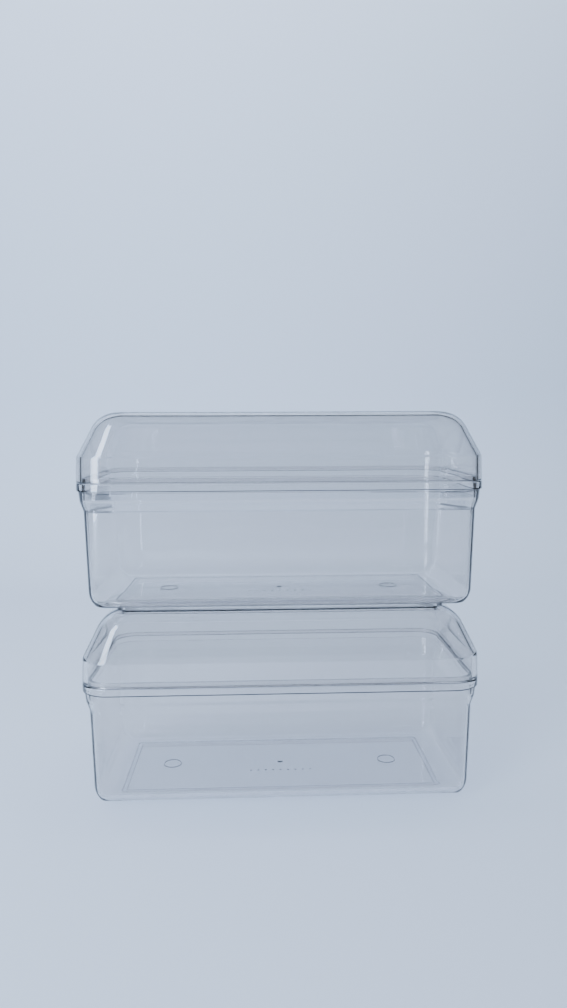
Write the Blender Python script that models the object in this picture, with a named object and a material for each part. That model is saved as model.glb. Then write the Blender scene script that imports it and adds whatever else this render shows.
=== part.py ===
"""Two lidded clear bins, stacked: each is a box with a loose lid that stands on the box's flange.

Metres, +Z up, +X along the bins, origin on the ground under the middle of the lower bin's foot.
"""

import math

import bmesh
import bpy
from mathutils import Vector

MM = 0.001

# One bin, over its flange.
BIN_LENGTH = 177.6 * MM
BIN_WIDTH = 85.6 * MM
WALL = 2.0 * MM
FLOOR = 2.2 * MM
CORNER_RADIUS = 13.4 * MM       # of the upright corners, at the flange
SHARPEST_CORNER = 1.5 * MM      # smallest corner that a ring may shrink to
GAP = 0.3 * MM                  # between pieces that rest on each other

# The foot is a low rectangular rib under the floor. It stands on the lid of the bin below.
FOOT_HEIGHT = 2.2 * MM
FOOT_WIDTH = 1.6 * MM
FOOT_INSET = 16.3 * MM          # from the flange to the middle of the rib
FOOT_DRAFT = 0.2 * MM

# The box: a drafted wall, a shoulder that steps outward, a flange, and a lip inside the lid.
BASE_INSET = 4.6 * MM
BASE_FILLET = 8.0 * MM
SHOULDER_BOTTOM = 45.2 * MM
SHOULDER_TOP = 49.4 * MM
SHOULDER_INSET = 3.2 * MM       # where the wall meets the shoulder
BAND_INSET = 0.7 * MM           # the band over the shoulder, where it meets the flange
BAND_FOOT_INSET = 1.5 * MM      # the band, where it meets the shoulder
WALL_CORNER_SHRINK = 1.5        # how fast the corners under the flange get sharper inward
FLANGE_UNDERCUT = 0.65          # slope of the flange's underside, which rises inward
FLANGE_BOTTOM = 54.1 * MM
FLANGE_TOP = 57.5 * MM
LIP_HEIGHT = 2.2 * MM
LIP_WALL = 1.3 * MM

# The lid: an upright skirt, sloping sides and a flat top.
SKIRT_WALL = 2.2 * MM
SKIRT_DRAFT = 0.4 * MM
SKIRT_UNDERCUT = 0.1            # slope of the skirt's bottom, which rises inward
CREASE_HEIGHT = 68.6 * MM       # where the skirt turns into the slope
LID_TOP = 88.1 * MM
TOP_FILLET = 12.0 * MM
CREASE_FILLET = 3.2 * MM
SLOPE_INSET = 9.8 * MM
SLOPE_CORNER_SHRINK = 0.45      # how fast the slope's corners get sharper as it leans in
LIP_CLEARANCE = 0.4 * MM

STACK_PITCH = LID_TOP + GAP
CORNER_STEPS = 6
FILLET_STEPS = 4
CLEAR_TINT = (0.87, 0.86, 0.85, 1.0)
LID_TINT = (0.87, 0.86, 0.85, 1.0)


def clear_plastic(name, tint):
    material = bpy.data.materials.new(name)
    material.use_nodes = True
    shader = material.node_tree.nodes["Principled BSDF"]
    shader.inputs["Base Color"].default_value = tint
    shader.inputs["Roughness"].default_value = 0.04
    shader.inputs["Metallic"].default_value = 0.0
    shader.inputs["IOR"].default_value = 1.59
    shader.inputs["Transmission Weight"].default_value = 1.0
    material.diffuse_color = tint
    return material


def rounded(corners):
    """Round a profile of (inset, height, fillet radius) corners into (inset, height) points."""
    points = [Vector(corners[0][:2])]
    for before, corner, after in zip(corners, corners[1:], corners[2:]):
        here = Vector(corner[:2])
        back = (Vector(before[:2]) - here).normalized()
        ahead = (Vector(after[:2]) - here).normalized()
        if corner[2] == 0.0:
            points.append(here)
            continue
        half_angle = back.angle(ahead) / 2
        centre = here + (back + ahead).normalized() * corner[2] / math.sin(half_angle)
        start = here + back * corner[2] / math.tan(half_angle) - centre
        end = here + ahead * corner[2] / math.tan(half_angle) - centre
        turn = start.angle_signed(end)
        for step in range(FILLET_STEPS + 1):
            angle = -turn * step / FILLET_STEPS
            spoke = Vector((start.x * math.cos(angle) - start.y * math.sin(angle),
                            start.x * math.sin(angle) + start.y * math.cos(angle)))
            points.append(centre + spoke)
    points.append(Vector(corners[-1][:2]))
    return points


def rounded_rectangle(inset, height, radius):
    """Points of one level ring of a bin, the given inset in from the flange."""
    across = BIN_LENGTH / 2 - inset - radius
    deep = BIN_WIDTH / 2 - inset - radius
    ring = []
    for quarter, (side_x, side_y) in enumerate(((1, 1), (-1, 1), (-1, -1), (1, -1))):
        for step in range(CORNER_STEPS + 1):
            angle = math.pi / 2 * (quarter + step / CORNER_STEPS)
            ring.append((side_x * across + radius * math.cos(angle),
                         side_y * deep + radius * math.sin(angle),
                         height))
    return ring


def loft(name, sections, base, material, collection):
    """One closed solid through the (inset, height, radius) sections, capped at both ends."""
    mesh = bpy.data.meshes.new(name)
    shell = bmesh.new()
    rings = [[shell.verts.new(point) for point in rounded_rectangle(*section)]
             for section in sections]
    for lower, upper in zip(rings, rings[1:]):
        for index in range(len(lower)):
            shell.faces.new((lower[index - 1], lower[index], upper[index], upper[index - 1]))
    shell.faces.new(reversed(rings[0]))
    shell.faces.new(rings[-1])
    bmesh.ops.recalc_face_normals(shell, faces=shell.faces)
    shell.to_mesh(mesh)
    shell.free()
    mesh.shade_smooth()
    mesh.set_sharp_from_angle(angle=math.radians(35))
    mesh.materials.append(material)
    part = bpy.data.objects.new(name, mesh)
    part.location.z = base
    collection.objects.link(part)
    return part


def box_sections():
    """From the middle of the underside, out and up over the lip, and down to the floor."""
    foot_inner = FOOT_INSET + FOOT_WIDTH / 2
    foot_outer = FOOT_INSET - FOOT_WIDTH / 2
    lip_outer = SKIRT_WALL + LIP_CLEARANCE
    lip_inner = lip_outer + LIP_WALL
    outside = rounded([
        (foot_inner + FOOT_DRAFT, FOOT_HEIGHT, 0.0),
        (foot_inner, 0.0, 0.0),
        (foot_outer, 0.0, 0.0),
        (foot_outer - FOOT_DRAFT, FOOT_HEIGHT, 0.0),
        (BASE_INSET, FOOT_HEIGHT, BASE_FILLET),
        (SHOULDER_INSET, SHOULDER_BOTTOM, 2.0 * MM),
        (BAND_FOOT_INSET, SHOULDER_TOP, 2.0 * MM),
        (BAND_INSET, FLANGE_BOTTOM + FLANGE_UNDERCUT * BAND_INSET, 0.0),
        (0.0, FLANGE_BOTTOM, 0.0),
        (0.0, FLANGE_TOP, 0.0),
        (lip_outer, FLANGE_TOP, 0.0),
        (lip_outer, FLANGE_TOP + LIP_HEIGHT, 0.0),
    ])
    inside = rounded([
        (lip_inner, FLANGE_TOP + LIP_HEIGHT, 0.0),
        (lip_inner, SHOULDER_TOP + WALL / 2, 2.0 * MM),
        (SHOULDER_INSET + WALL, SHOULDER_BOTTOM + WALL / 2, 2.0 * MM),
        (BASE_INSET + WALL, FOOT_HEIGHT + FLOOR, BASE_FILLET - WALL),
        (FOOT_INSET, FOOT_HEIGHT + FLOOR, 0.0),
    ])
    sections = []
    for inset, height in outside + inside:
        shrink = 1.0 if height > FLANGE_BOTTOM - GAP else WALL_CORNER_SHRINK
        sections.append((inset, height, max(CORNER_RADIUS - shrink * inset, SHARPEST_CORNER)))
    return sections


def lid_sections():
    """From the middle of the top, down the outside, and up the inside to the ceiling."""
    skirt_bottom = FLANGE_TOP + GAP
    lean = math.atan2(SLOPE_INSET - SKIRT_DRAFT, LID_TOP - CREASE_HEIGHT)
    crease_drop = WALL * math.tan(lean / 2)
    top_in = WALL * math.tan((math.pi / 2 - lean) / 2)
    outside = rounded([
        (FOOT_INSET + FOOT_WIDTH, LID_TOP, 0.0),
        (SLOPE_INSET, LID_TOP, TOP_FILLET),
        (SKIRT_DRAFT, CREASE_HEIGHT, CREASE_FILLET),
        (0.0, skirt_bottom, 0.0),
    ])
    inside = rounded([
        (SKIRT_WALL, skirt_bottom + SKIRT_UNDERCUT * SKIRT_WALL, 0.0),
        (SKIRT_DRAFT + WALL, CREASE_HEIGHT - crease_drop, CREASE_FILLET - WALL),
        (SLOPE_INSET + top_in, LID_TOP - WALL, TOP_FILLET - WALL),
        (FOOT_INSET + FOOT_WIDTH + WALL, LID_TOP - WALL, 0.0),
    ])
    sections = [(inset, height, CORNER_RADIUS - SLOPE_CORNER_SHRINK * inset)
                for inset, height in outside]
    for inset, height in inside:
        outer_corner = CORNER_RADIUS - SLOPE_CORNER_SHRINK * (inset - WALL)
        sections.append((inset, height, outer_corner - WALL))
    return sections


for old in list(bpy.data.objects):
    bpy.data.objects.remove(old, do_unlink=True)

bins = bpy.data.collections.new("fridge_bin")
bpy.context.scene.collection.children.link(bins)

box_plastic = clear_plastic("box_polystyrene", CLEAR_TINT)
lid_plastic = clear_plastic("lid_polystyrene", LID_TINT)
for level, place in enumerate(("lower", "upper")):
    loft(place + "_box", box_sections(), level * STACK_PITCH, box_plastic, bins)
    loft(place + "_lid", lid_sections(), level * STACK_PITCH, lid_plastic, bins)
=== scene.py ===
import math

import bmesh
import bpy
from mathutils import Matrix, Vector


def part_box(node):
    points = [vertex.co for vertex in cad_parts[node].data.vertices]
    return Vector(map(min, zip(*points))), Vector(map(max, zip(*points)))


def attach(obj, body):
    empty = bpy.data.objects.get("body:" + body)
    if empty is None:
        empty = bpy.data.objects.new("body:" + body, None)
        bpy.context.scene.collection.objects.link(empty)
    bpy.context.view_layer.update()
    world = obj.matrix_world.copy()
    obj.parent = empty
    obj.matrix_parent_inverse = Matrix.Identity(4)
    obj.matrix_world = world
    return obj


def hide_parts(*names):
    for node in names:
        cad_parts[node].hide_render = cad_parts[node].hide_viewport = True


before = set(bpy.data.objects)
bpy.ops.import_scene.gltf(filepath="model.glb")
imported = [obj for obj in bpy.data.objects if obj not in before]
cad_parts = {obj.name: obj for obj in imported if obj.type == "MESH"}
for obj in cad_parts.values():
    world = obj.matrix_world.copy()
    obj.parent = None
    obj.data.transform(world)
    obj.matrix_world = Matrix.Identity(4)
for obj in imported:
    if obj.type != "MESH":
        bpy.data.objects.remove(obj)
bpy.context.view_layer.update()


# --- Camera ---------------------------------------------------------------------------------
# A phone's main camera, held level with the top of the stack and looking a little down at it.
# It stands almost square to the front, with the right-hand ends a touch further away.
MM = 0.001
CAMERA_LENS = 26.1
CAMERA_SIDE = -11.5 * MM
CAMERA_BACK = 349.6 * MM
CAMERA_HEIGHT = 168.0 * MM
CAMERA_DOWN = math.radians(5.74)
CAMERA_YAW = math.radians(-2.26)
CAMERA_ROLL = math.radians(-0.24)

camera_data = bpy.data.cameras.new("camera")
camera_data.lens = CAMERA_LENS
camera_data.clip_start = 10 * MM
camera = bpy.data.objects.new("camera", camera_data)
bpy.context.scene.collection.objects.link(camera)
aim = (Matrix.Rotation(CAMERA_YAW, 4, "Z") @ Matrix.Rotation(math.pi / 2 - CAMERA_DOWN, 4, "X")
       @ Matrix.Rotation(CAMERA_ROLL, 4, "Z"))
camera.matrix_world = Matrix.Translation((CAMERA_SIDE, -CAMERA_BACK, CAMERA_HEIGHT)) @ aim
bpy.context.scene.camera = camera


# --- Studio ---------------------------------------------------------------------------------
# A sweep of pale matt paper runs from the floor up behind the bins. Two soft lights overhead
# light the paper and don't show in the plastic. A tall window stands to the left and does. The
# room round them is a dim grey, which the edges of the clear plastic pick up as dark lines.
PAPER = "DCE5F0"
ROOM = "484C52"
SKYLIGHT = "EAF2FF"
DAYLIGHT = "CFE2FF"
SWEEP_BACK = 0.62
SWEEP_FRONT = -1.6
SWEEP_RADIUS = 0.22
SWEEP_HALF_WIDTH = 1.0
SWEEP_HEIGHT = 0.80
SWEEP_STEPS = 16


def linear(code):
    """An sRGB hex colour as a linear RGBA tuple."""
    channels = [int(code[start:start + 2], 16) / 255 for start in (0, 2, 4)]
    return tuple(c / 12.92 if c <= 0.04045 else ((c + 0.055) / 1.055) ** 2.4 for c in channels) + (1.0,)


# Matt coated paper on a roll: pale, faintly blue, and with no shine that the eye could catch.
paper = bpy.data.materials.new("matt_paper")
paper.use_nodes = True
paper_shader = paper.node_tree.nodes["Principled BSDF"]
paper_shader.inputs["Base Color"].default_value = linear(PAPER)
paper_shader.inputs["Roughness"].default_value = 0.9

sweep_line = [(SWEEP_FRONT, 0.0)]
for step in range(SWEEP_STEPS + 1):
    angle = math.pi / 2 * step / SWEEP_STEPS
    sweep_line.append((SWEEP_BACK - SWEEP_RADIUS + SWEEP_RADIUS * math.sin(angle),
                       SWEEP_RADIUS - SWEEP_RADIUS * math.cos(angle)))
sweep_line.append((SWEEP_BACK, SWEEP_HEIGHT))
sweep_mesh = bpy.data.meshes.new("sweep")
sweep_build = bmesh.new()
rows = [[sweep_build.verts.new((side * SWEEP_HALF_WIDTH, y, z)) for side in (-1, 1)] for y, z in sweep_line]
for near, far in zip(rows, rows[1:]):
    sweep_build.faces.new((near[0], near[1], far[1], far[0]))
sweep_build.to_mesh(sweep_mesh)
sweep_build.free()
sweep_mesh.shade_smooth()
sweep_mesh.materials.append(paper)
sweep = bpy.data.objects.new("sweep", sweep_mesh)
bpy.context.scene.collection.objects.link(sweep)

room = bpy.data.worlds.new("room")
room.use_nodes = True
room.node_tree.nodes["Background"].inputs["Color"].default_value = linear(ROOM)
room.node_tree.nodes["Background"].inputs["Strength"].default_value = 1.0
bpy.context.scene.world = room

for name, place, target, size, watts, colour, mirrored in (
        ("backdrop_light", (0.0, 0.15, 1.25), (0.0, 0.62, 0.25), (1.6, 0.5), 11.2, SKYLIGHT, False),
        ("overhead", (0.0, 0.05, 1.2), (0.0, 0.0, 0.0), (0.7, 0.5), 1.5, SKYLIGHT, False),
        ("window", (-0.56, -0.62, 0.70), (0.0, 0.0, 0.70), (0.34, 1.5), 30.0, DAYLIGHT, True)):
    softbox = bpy.data.lights.new(name, "AREA")
    softbox.shape = "RECTANGLE"
    softbox.size, softbox.size_y = size
    softbox.energy = watts
    softbox.color = linear(colour)[:3]
    light = bpy.data.objects.new(name, softbox)
    light.location = place
    light.rotation_euler = (Vector(target) - Vector(place)).to_track_quat("-Z", "Y").to_euler()
    light.visible_glossy = mirrored
    light.visible_transmission = mirrored
    bpy.context.scene.collection.objects.link(light)


# --- Boxes ----------------------------------------------------------------------------------
# Each bin is a one-piece box of general-purpose polystyrene, injection moulded through a gate
# in the middle of the floor. Drafted walls rise to a shoulder, a flange and a lip for the lid.
BIN_LENGTH = 177.6 * MM
BIN_WIDTH = 85.6 * MM
WALL = 2.0 * MM
FLOOR = 2.2 * MM
CORNER_RADIUS = 13.4 * MM
SHARPEST_CORNER = 1.5 * MM
FOOT_HEIGHT = 2.2 * MM
FOOT_WIDTH = 1.6 * MM
FOOT_INSET = 16.3 * MM
FOOT_DRAFT = 0.2 * MM
BASE_INSET = 4.6 * MM
BASE_FILLET = 8.0 * MM
SHOULDER_BOTTOM = 45.2 * MM
SHOULDER_TOP = 49.4 * MM
SHOULDER_INSET = 3.2 * MM
SHOULDER_FILLET = 2.5 * MM
BAND_INSET = 0.7 * MM            # the band over the shoulder, where it meets the flange
BAND_FOOT_INSET = 1.5 * MM       # the band, where it meets the shoulder
WALL_CORNER_SHRINK = 1.5         # how fast the corners under the flange get sharper inward
FLANGE_UNDERCUT = 0.65           # slope of the flange's underside, which rises inward
FLANGE_BOTTOM = 54.1 * MM
FLANGE_TOP = 57.5 * MM
LIP_HEIGHT = 2.2 * MM
LIP_WALL = 1.3 * MM
LIP_FILLET = 0.35 * MM
LIP_CLEARANCE = 0.4 * MM
SKIRT_WALL = 2.2 * MM            # of the lid that stands outside the lip
GAP = 0.3 * MM                   # between pieces that rest on each other
HOLD = 0.08 * MM                 # a flat face's own ring, just before it turns into a round
CORNER_SHARE = 0.012             # of a straight side: how near its first and last ribs are to a corner
WELD_DISTANCE = 0.002 * MM
CLEAR = "F0EEED"
LAMPLIT = "F9F9FA"
POLYSTYRENE_IOR = 1.59
RIPPLE_LENGTH = 38 * MM
RIPPLE_DEPTH = 0.11 * MM
CREASE_ANGLE = math.radians(35)


def node(tree, kind, sockets=None, **settings):
    """Adds a node. sockets maps its inputs to values or to other nodes' outputs."""
    made = tree.nodes.new(kind)
    for name, value in settings.items():
        setattr(made, name, value)
    for name, value in (sockets or {}).items():
        if isinstance(value, bpy.types.NodeSocket):
            tree.links.new(value, made.inputs[name])
        else:
            made.inputs[name].default_value = value
    return made


def rounded(corners):
    """Rounds a profile of (inset, height, fillet, steps) corners into (inset, height) points.

    A ring on each flat, just outside each fillet, keeps the flat's shading flat."""
    points = [Vector(corners[0][:2])]
    for before, corner, after in zip(corners, corners[1:], corners[2:]):
        here, fillet, steps = Vector(corner[:2]), corner[2], corner[3]
        back = (Vector(before[:2]) - here).normalized()
        ahead = (Vector(after[:2]) - here).normalized()
        half_angle = back.angle(ahead) / 2
        centre = here + (back + ahead).normalized() * fillet / math.sin(half_angle)
        cut = fillet / math.tan(half_angle)
        hold = min(HOLD, fillet / 2)
        start = here + back * cut - centre
        turn = start.angle_signed(here + ahead * cut - centre)
        points.append(here + back * (cut + hold))
        for step in range(steps + 1):
            angle = -turn * step / steps
            points.append(centre + Vector((start.x * math.cos(angle) - start.y * math.sin(angle),
                                           start.x * math.sin(angle) + start.y * math.cos(angle))))
        points.append(here + ahead * (cut + hold))
    points.append(Vector(corners[-1][:2]))
    return points


def profile_object(name, sections):
    """Loose points that hold a piece's profile: x is the inset, z the height, y the corner radius.

    The sag of a point is how much of the piece's sag it takes."""
    mesh = bpy.data.meshes.new(name)
    mesh.from_pydata([(inset, radius, height) for inset, height, radius, sag in sections], [], [])
    share = mesh.attributes.new("sag", "FLOAT", "POINT")
    for index, section in enumerate(sections):
        share.data[index].value = section[3]
    made = bpy.data.objects.new(name, mesh)
    bpy.context.scene.collection.objects.link(made)
    return made


def rim_object(name, corner_steps, long_steps, short_steps):
    """Loose points once round a bin's outline. position is the share of the straight sides, and
    the turn attribute is the unit vector that a corner's radius multiplies."""
    stops = []
    for quarter, (side_x, side_y) in enumerate(((1, 1), (-1, 1), (-1, -1), (1, -1))):
        for step in range(corner_steps + 1):
            angle = math.pi / 2 * (quarter + step / corner_steps)
            stops.append(((side_x, side_y), (math.cos(angle), math.sin(angle))))
        turn = stops[-1][1]
        steps = long_steps if quarter % 2 == 0 else short_steps
        shares = [CORNER_SHARE] + [step / steps for step in range(1, steps)] + [1 - CORNER_SHARE]
        for share in shares:
            along = 1 - 2 * share
            place = (side_x * along, side_y) if quarter % 2 == 0 else (side_x, side_y * along)
            stops.append((place, turn))
    mesh = bpy.data.meshes.new(name)
    mesh.from_pydata([(x, y, 0.0) for (x, y), turn in stops], [], [])
    turns = mesh.attributes.new("turn", "FLOAT_VECTOR", "POINT")
    for index, (place, turn) in enumerate(stops):
        turns.data[index].vector = (*turn, 0.0)
    made = bpy.data.objects.new(name, mesh)
    bpy.context.scene.collection.objects.link(made)
    return made


def moulding_tree():
    """A skin stretched through rounded-rectangle rings, one for each point of a profile."""
    tree = bpy.data.node_groups.new("moulding", "GeometryNodeTree")
    face = tree.interface
    face.new_socket("Profile", in_out="INPUT", socket_type="NodeSocketGeometry")
    face.new_socket("Rim", in_out="INPUT", socket_type="NodeSocketObject")
    for name in ("Length", "Width", "Base Height", "Sag"):
        face.new_socket(name, in_out="INPUT", socket_type="NodeSocketFloat")
    face.new_socket("Material", in_out="INPUT", socket_type="NodeSocketMaterial")
    face.new_socket("Moulding", in_out="OUTPUT", socket_type="NodeSocketGeometry")
    given = node(tree, "NodeGroupInput").outputs
    math_node, vector_node = "ShaderNodeMath", "ShaderNodeVectorMath"

    # A grid with a column for each stop of the rim and a row for each point of the profile.
    rim = node(tree, "GeometryNodeObjectInfo", {"Object": given["Rim"]}).outputs["Geometry"]
    rim_count = node(tree, "GeometryNodeAttributeDomainSize", {"Geometry": rim}).outputs["Point Count"]
    ring_count = node(tree, "GeometryNodeAttributeDomainSize",
                      {"Geometry": given["Profile"]}).outputs["Point Count"]
    last_ring = node(tree, math_node, {0: ring_count, 1: 1.0}, operation="SUBTRACT").outputs[0]
    columns = node(tree, math_node, {0: rim_count, 1: 1.0}, operation="ADD").outputs[0]
    skin = node(tree, "GeometryNodeMeshGrid",
                {"Size X": rim_count, "Size Y": last_ring,
                 "Vertices X": columns, "Vertices Y": ring_count}).outputs["Mesh"]

    # Each grid point's own stop and ring. The last column falls on the first, to close the skin.
    position = node(tree, "GeometryNodeInputPosition").outputs[0]
    place = node(tree, "ShaderNodeSeparateXYZ", {"Vector": position}).outputs
    half_rim = node(tree, math_node, {0: rim_count, 1: 2.0}, operation="DIVIDE").outputs[0]
    column = node(tree, math_node, {0: place["X"], 1: half_rim}, operation="ADD").outputs[0]
    column = node(tree, math_node, {0: column}, operation="ROUND").outputs[0]
    stop = node(tree, math_node, {0: column, 1: rim_count}, operation="MODULO").outputs[0]
    half_rings = node(tree, math_node, {0: last_ring, 1: 2.0}, operation="DIVIDE").outputs[0]
    ring = node(tree, math_node, {0: place["Y"], 1: half_rings}, operation="ADD").outputs[0]
    ring = node(tree, math_node, {0: ring}, operation="ROUND").outputs[0]

    turn = node(tree, "GeometryNodeInputNamedAttribute", {"Name": "turn"},
                data_type="FLOAT_VECTOR").outputs[0]
    sag = node(tree, "GeometryNodeInputNamedAttribute", {"Name": "sag"}, data_type="FLOAT").outputs[0]
    section = node(tree, "GeometryNodeSampleIndex", data_type="FLOAT_VECTOR",
                   sockets={"Geometry": given["Profile"], "Value": position, "Index": ring}).outputs[0]
    sag_share = node(tree, "GeometryNodeSampleIndex", data_type="FLOAT",
                     sockets={"Geometry": given["Profile"], "Value": sag, "Index": ring}).outputs[0]
    side = node(tree, "GeometryNodeSampleIndex", data_type="FLOAT_VECTOR",
                sockets={"Geometry": rim, "Value": position, "Index": stop}).outputs[0]
    corner = node(tree, "GeometryNodeSampleIndex", data_type="FLOAT_VECTOR",
                  sockets={"Geometry": rim, "Value": turn, "Index": stop}).outputs[0]

    # The ring's outline: straight sides that the inset and the corner radius shorten, and corners.
    section = node(tree, "ShaderNodeSeparateXYZ", {"Vector": section}).outputs
    inset, radius, height = section["X"], section["Y"], section["Z"]
    taken = node(tree, math_node, {0: inset, 1: radius}, operation="ADD").outputs[0]
    half_sizes = [node(tree, math_node, {0: given[size], 1: 2.0}, operation="DIVIDE").outputs[0]
                  for size in ("Length", "Width")]
    reaches = [node(tree, math_node, {0: half, 1: taken}, operation="SUBTRACT").outputs[0]
               for half in half_sizes]
    reach = node(tree, "ShaderNodeCombineXYZ", {"X": reaches[0], "Y": reaches[1]}).outputs[0]
    sides = node(tree, vector_node, {0: side, 1: reach}, operation="MULTIPLY").outputs[0]
    corners = node(tree, vector_node, {"Vector": corner, "Scale": radius}, operation="SCALE").outputs[0]
    flat = node(tree, vector_node, {0: sides, 1: corners}, operation="ADD").outputs[0]

    # The sag: none at the outline, all of it at the middle.
    spread = node(tree, "ShaderNodeSeparateXYZ", {"Vector": flat}).outputs
    dips = []
    for axis, half in zip("XY", half_sizes):
        share = node(tree, math_node, {0: spread[axis], 1: half}, operation="DIVIDE").outputs[0]
        share = node(tree, math_node, {0: share, 1: share}, operation="MULTIPLY").outputs[0]
        dips.append(node(tree, math_node, {0: 1.0, 1: share}, operation="SUBTRACT").outputs[0])
    dip = node(tree, math_node, {0: dips[0], 1: dips[1]}, operation="MULTIPLY").outputs[0]
    depth = node(tree, math_node, {0: given["Sag"], 1: sag_share}, operation="MULTIPLY").outputs[0]
    dip = node(tree, math_node, {0: dip, 1: depth}, operation="MULTIPLY").outputs[0]
    level = node(tree, math_node, {0: height, 1: given["Base Height"]}, operation="ADD").outputs[0]
    level = node(tree, math_node, {0: level, 1: dip}, operation="SUBTRACT").outputs[0]
    up = node(tree, "ShaderNodeCombineXYZ", {"Z": level}).outputs[0]
    spot = node(tree, vector_node, {0: flat, 1: up}, operation="ADD").outputs[0]

    moved = node(tree, "GeometryNodeSetPosition", {"Geometry": skin, "Position": spot}).outputs[0]
    welded = node(tree, "GeometryNodeMergeByDistance",
                  {"Geometry": moved, "Distance": WELD_DISTANCE}).outputs[0]
    smooth = node(tree, "GeometryNodeSetShadeSmooth", {"Geometry": welded}).outputs[0]
    whole = node(tree, "GeometryNodeRealizeInstances", {"Geometry": smooth}).outputs[0]
    coated = node(tree, "GeometryNodeSetMaterial",
                  {"Geometry": whole, "Material": given["Material"]}).outputs[0]
    node(tree, "NodeGroupOutput", {"Moulding": coated})
    return tree


def marks_tree():
    """Joins the raised marks to a box's floor: two rings, a row of dots and the gate's stub."""
    tree = bpy.data.node_groups.new("floor_marks", "GeometryNodeTree")
    face = tree.interface
    face.new_socket("Box", in_out="INPUT", socket_type="NodeSocketGeometry")
    for name in ("Mark Level", "Ring Radius", "Ring Spacing", "Wire", "Dot Radius", "Dot Spacing",
                 "Dot Place", "Gate Radius"):
        face.new_socket(name, in_out="INPUT", socket_type="NodeSocketFloat")
    for name in ("Rings", "Dots"):
        face.new_socket(name, in_out="INPUT", socket_type="NodeSocketInt")
    face.new_socket("Material", in_out="INPUT", socket_type="NodeSocketMaterial")
    face.new_socket("Marked Box", in_out="OUTPUT", socket_type="NodeSocketGeometry")
    given = node(tree, "NodeGroupInput").outputs
    math_node = "ShaderNodeMath"

    circle = node(tree, "GeometryNodeCurvePrimitiveCircle",
                  {"Radius": given["Ring Radius"], "Resolution": 40})
    wire = node(tree, "GeometryNodeCurvePrimitiveCircle", {"Radius": given["Wire"], "Resolution": 12})
    ring = node(tree, "GeometryNodeCurveToMesh",
                {"Curve": circle.outputs[0], "Profile Curve": wire.outputs[0]})
    dot = node(tree, "GeometryNodeMeshUVSphere",
               {"Radius": given["Dot Radius"], "Segments": 16, "Rings": 8})
    dot = node(tree, "GeometryNodeTransform", {"Geometry": dot.outputs[0], "Scale": (1.0, 1.0, 0.5)})

    rows = []
    for mark, count, spacing, place in ((ring, given["Rings"], given["Ring Spacing"], 0.0),
                                        (dot, given["Dots"], given["Dot Spacing"], given["Dot Place"])):
        gaps = node(tree, math_node, {0: 1.0, 1: count}, operation="SUBTRACT").outputs[0]
        gaps = node(tree, math_node, {0: gaps, 1: 2.0}, operation="DIVIDE").outputs[0]
        first = node(tree, math_node, {0: spacing, 1: gaps}, operation="MULTIPLY").outputs[0]
        start = node(tree, "ShaderNodeCombineXYZ",
                     {"X": first, "Y": place, "Z": given["Mark Level"]}).outputs[0]
        stride = node(tree, "ShaderNodeCombineXYZ", {"X": spacing}).outputs[0]
        line = node(tree, "GeometryNodeMeshLine",
                    {"Count": count, "Start Location": start, "Offset": stride})
        rows.append(node(tree, "GeometryNodeInstanceOnPoints",
                         {"Points": line.outputs[0], "Instance": mark.outputs[0]}).outputs[0])

    stub = node(tree, "GeometryNodeMeshUVSphere",
                {"Radius": given["Gate Radius"], "Segments": 24, "Rings": 12})
    middle = node(tree, "ShaderNodeCombineXYZ", {"Z": given["Mark Level"]}).outputs[0]
    stub = node(tree, "GeometryNodeTransform", {"Geometry": stub.outputs[0], "Translation": middle,
                                                "Scale": (1.0, 1.0, 0.3)})

    marks = node(tree, "GeometryNodeJoinGeometry")
    for part in (*rows, stub.outputs[0]):
        tree.links.new(part, marks.inputs[0])
    solid = node(tree, "GeometryNodeRealizeInstances", {"Geometry": marks.outputs[0]}).outputs[0]
    union = node(tree, "GeometryNodeMeshBoolean", operation="UNION", solver="EXACT")
    for part in (given["Box"], solid):
        tree.links.new(part, union.inputs["Mesh 2"])
    smooth = node(tree, "GeometryNodeSetShadeSmooth", {"Geometry": union.outputs[0]}).outputs[0]
    whole = node(tree, "GeometryNodeRealizeInstances", {"Geometry": smooth}).outputs[0]
    coated = node(tree, "GeometryNodeSetMaterial",
                  {"Geometry": whole, "Material": given["Material"]}).outputs[0]
    node(tree, "NodeGroupOutput", {"Marked Box": coated})
    return tree


def baked(name, source, tree, **inputs):
    """The tree's result on source as a plain mesh object, with normals facing out."""
    work = source.modifiers.new("moulding", "NODES")
    work.node_group = tree
    sockets = {item.name: item.identifier for item in tree.interface.items_tree if item.in_out == "INPUT"}
    for key, value in inputs.items():
        work[sockets[key.replace("_", " ")]] = value
    bpy.context.view_layer.update()
    shape = source.evaluated_get(bpy.context.evaluated_depsgraph_get())
    mesh = bpy.data.meshes.new_from_object(shape)
    source.modifiers.remove(work)
    mesh.name = name
    mesh.set_sharp_from_angle(angle=CREASE_ANGLE)
    mesh.materials.clear()
    mesh.materials.append(inputs["Material"])
    check = bmesh.new()
    check.from_mesh(mesh)
    bmesh.ops.recalc_face_normals(check, faces=check.faces)
    check.to_mesh(mesh)
    check.free()
    made = bpy.data.objects.new(name, mesh)
    bpy.context.scene.collection.objects.link(made)
    return made


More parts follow.
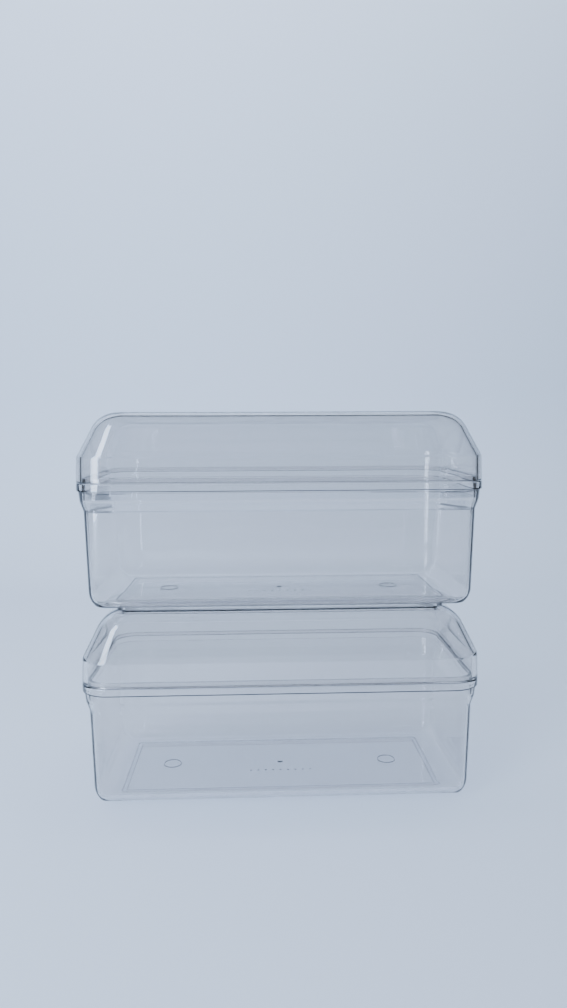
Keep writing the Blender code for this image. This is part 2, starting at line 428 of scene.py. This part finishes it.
# Clear general-purpose polystyrene, polished in the mould. The eye gets a colourless gloss that
# bends light more than glass does, and walls that ripple slightly where the melt flowed.
def clear_polystyrene(name):
    """Clear plastic that lamps shine through. Light that has left the paper passes straight too."""
    material = bpy.data.materials.new(name)
    material.use_nodes = True
    tree = material.node_tree
    shader = tree.nodes["Principled BSDF"]
    shader.inputs["Base Color"].default_value = linear(CLEAR)
    shader.inputs["Roughness"].default_value = 0.015
    shader.inputs["IOR"].default_value = POLYSTYRENE_IOR
    shader.inputs["Transmission Weight"].default_value = 1.0
    where = node(tree, "ShaderNodeTexCoord").outputs["Object"]
    ripple = node(tree, "ShaderNodeTexNoise", {"Vector": where, "Scale": 1 / RIPPLE_LENGTH, "Detail": 1.0})
    bump = node(tree, "ShaderNodeBump", {"Height": ripple.outputs["Fac"], "Strength": 1.0,
                                         "Distance": RIPPLE_DEPTH})
    tree.links.new(bump.outputs["Normal"], shader.inputs["Normal"])
    clear = node(tree, "ShaderNodeBsdfTransparent", {"Color": linear(LAMPLIT)}).outputs[0]
    path = node(tree, "ShaderNodeLightPath").outputs
    lit = node(tree, "ShaderNodeMixShader", {0: path["Is Diffuse Ray"], 1: shader.outputs[0], 2: clear})
    mixed = node(tree, "ShaderNodeMixShader", {0: path["Is Shadow Ray"], 1: lit.outputs[0], 2: clear})
    tree.links.new(mixed.outputs[0], tree.nodes["Material Output"].inputs["Surface"])
    return material


box_plastic = clear_polystyrene("clear_polystyrene_box")

# The box's profile, as (inset, height, fillet, steps): under the floor from the middle out, round
# the foot rib, up the outside to the flange, over the lip, and down the inside to the floor.
foot_inner = FOOT_INSET + FOOT_WIDTH / 2
foot_outer = FOOT_INSET - FOOT_WIDTH / 2
lip_outer = SKIRT_WALL + LIP_CLEARANCE
lip_inner = lip_outer + LIP_WALL
lip_top = FLANGE_TOP + LIP_HEIGHT
floor_top = FOOT_HEIGHT + FLOOR
box_corners = [
    (BIN_WIDTH / 2, FOOT_HEIGHT, 0.0, 0),
    (foot_inner + FOOT_DRAFT, FOOT_HEIGHT, 0.3 * MM, 4),
    (foot_inner, 0.0, 0.12 * MM, 4),
    (foot_outer, 0.0, 0.12 * MM, 4),
    (foot_outer - FOOT_DRAFT, FOOT_HEIGHT, 0.3 * MM, 4),
    (BASE_INSET, FOOT_HEIGHT, BASE_FILLET, 14),
    (SHOULDER_INSET, SHOULDER_BOTTOM, SHOULDER_FILLET, 6),
    (BAND_FOOT_INSET, SHOULDER_TOP, SHOULDER_FILLET, 6),
    (BAND_INSET, FLANGE_BOTTOM + FLANGE_UNDERCUT * BAND_INSET, 0.1 * MM, 4),
    (0.0, FLANGE_BOTTOM, 0.06 * MM, 4),
    (0.0, FLANGE_TOP, 0.45 * MM, 6),
    (lip_outer, FLANGE_TOP, 0.2 * MM, 3),
    (lip_outer, lip_top, LIP_FILLET, 4),
    (lip_inner, lip_top, LIP_FILLET, 4),
    (lip_inner, SHOULDER_TOP + WALL / 2, SHOULDER_FILLET, 6),
    (SHOULDER_INSET + WALL, SHOULDER_BOTTOM + WALL / 2, SHOULDER_FILLET, 6),
    (BASE_INSET + WALL, floor_top, BASE_FILLET - WALL, 12),
    (BIN_WIDTH / 2, floor_top, 0.0, 0),
]
box_sections = []
for inset, height in rounded(box_corners):
    shrink = 1.0 if height > FLANGE_BOTTOM - GAP else WALL_CORNER_SHRINK
    box_sections.append((inset, height, max(CORNER_RADIUS - shrink * inset, SHARPEST_CORNER), 0.0))
for end in (0, -1):
    box_sections[end] = (BIN_WIDTH / 2, box_sections[end][1], 0.0, 0.0)
box_profile = profile_object("box_profile", box_sections)
rim_guide = rim_object("rim_guide", corner_steps=16, long_steps=24, short_steps=12)
moulding = moulding_tree()

# The marks stand in relief on the floor, as the mould's engraving leaves them.
RING_SPACING = 106.0 * MM
RING_RADIUS = 4.2 * MM
MARK_HEIGHT = 0.3 * MM
MARK_SINK = 0.02 * MM            # keeps the marks' own points out of the floor's plane
DOTS = 9
DOT_RADIUS = 0.55 * MM
DOT_SPACING = 3.6 * MM
DOT_PLACE = -9.0 * MM
GATE_RADIUS = 1.4 * MM
floor_marks = marks_tree()
for level in ("lower", "upper"):
    node_name = level + "_box"
    base = float(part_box(node_name)[0][2])
    plain = baked(level + "_plain_box", box_profile, moulding, Rim=rim_guide, Length=BIN_LENGTH,
                  Width=BIN_WIDTH, Base_Height=base, Sag=0.0, Material=box_plastic)
    box = baked(level + "_box_moulding", plain, floor_marks, Mark_Level=base + floor_top - MARK_SINK,
                Rings=2, Ring_Radius=RING_RADIUS, Ring_Spacing=RING_SPACING, Wire=MARK_HEIGHT,
                Dots=DOTS, Dot_Radius=DOT_RADIUS, Dot_Spacing=DOT_SPACING, Dot_Place=DOT_PLACE,
                Gate_Radius=GATE_RADIUS, Material=box_plastic)
    bpy.data.objects.remove(plain, do_unlink=True)
    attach(box, node_name)
    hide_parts(node_name)


# --- Lids -----------------------------------------------------------------------------------
# Each lid is a one-piece moulding of the same clear polystyrene: an upright skirt that stands
# on the box's flange, sloping sides, and a flat top that sags a little at its middle.
SKIRT_DRAFT = 0.4 * MM
SKIRT_UNDERCUT = 0.1             # slope of the skirt's bottom, which rises inward
SKIRT_FILLET = 0.15 * MM
CREASE_HEIGHT = 68.6 * MM        # where the skirt turns into the slope
CREASE_FILLET = 3.2 * MM
LID_TOP = 88.1 * MM
TOP_FILLET = 12.0 * MM
SLOPE_INSET = 9.8 * MM
SLOPE_CORNER_SHRINK = 0.45       # how fast the slope's corners get sharper as it leans in
LID_SAG = 0.3 * MM

lid_plastic = clear_polystyrene("clear_polystyrene_lid")

# The lid's profile: over the top from the middle out, down the outside to the skirt's bottom,
# and up the inside to the ceiling. Corners inside follow the outer ones, a wall's thickness in.
skirt_bottom = FLANGE_TOP + GAP
lean = math.atan2(SLOPE_INSET - SKIRT_DRAFT, LID_TOP - CREASE_HEIGHT)
crease_drop = WALL * math.tan(lean / 2)
top_in = WALL * math.tan((math.pi / 2 - lean) / 2)
lid_corners = [
    (BIN_WIDTH / 2, LID_TOP, 0.0, 0),
    (SLOPE_INSET, LID_TOP, TOP_FILLET, 20),
    (SKIRT_DRAFT, CREASE_HEIGHT, CREASE_FILLET, 8),
    (0.0, skirt_bottom, SKIRT_FILLET, 4),
    (SKIRT_WALL, skirt_bottom + SKIRT_UNDERCUT * SKIRT_WALL, SKIRT_FILLET, 4),
    (SKIRT_DRAFT + WALL, CREASE_HEIGHT - crease_drop, CREASE_FILLET - WALL, 6),
    (SLOPE_INSET + top_in, LID_TOP - WALL, TOP_FILLET - WALL, 20),
    (BIN_WIDTH / 2, LID_TOP - WALL, 0.0, 0),
]
lid_sections = []
turned_in = False
for inset, height in rounded(lid_corners):
    turned_in = turned_in or (height < skirt_bottom + WALL and inset > SKIRT_WALL / 2)
    wall = WALL if turned_in else 0.0
    corner = CORNER_RADIUS - SLOPE_CORNER_SHRINK * (inset - wall) - wall
    sag = min(max((height - CREASE_HEIGHT) / (LID_TOP - WALL - CREASE_HEIGHT), 0.0), 1.0)
    lid_sections.append((inset, height, corner, sag))
for end in (0, -1):
    lid_sections[end] = (BIN_WIDTH / 2, lid_sections[end][1], 0.0, 1.0)
lid_profile = profile_object("lid_profile", lid_sections)
for level in ("lower", "upper"):
    node_name = level + "_lid"
    base = float(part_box(node_name)[0][2]) - skirt_bottom
    lid = baked(level + "_lid_moulding", lid_profile, moulding, Rim=rim_guide, Length=BIN_LENGTH,
                Width=BIN_WIDTH, Base_Height=base, Sag=LID_SAG, Material=lid_plastic)
    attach(lid, node_name)
    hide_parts(node_name)

for guide in (box_profile, lid_profile, rim_guide):
    bpy.data.objects.remove(guide, do_unlink=True)
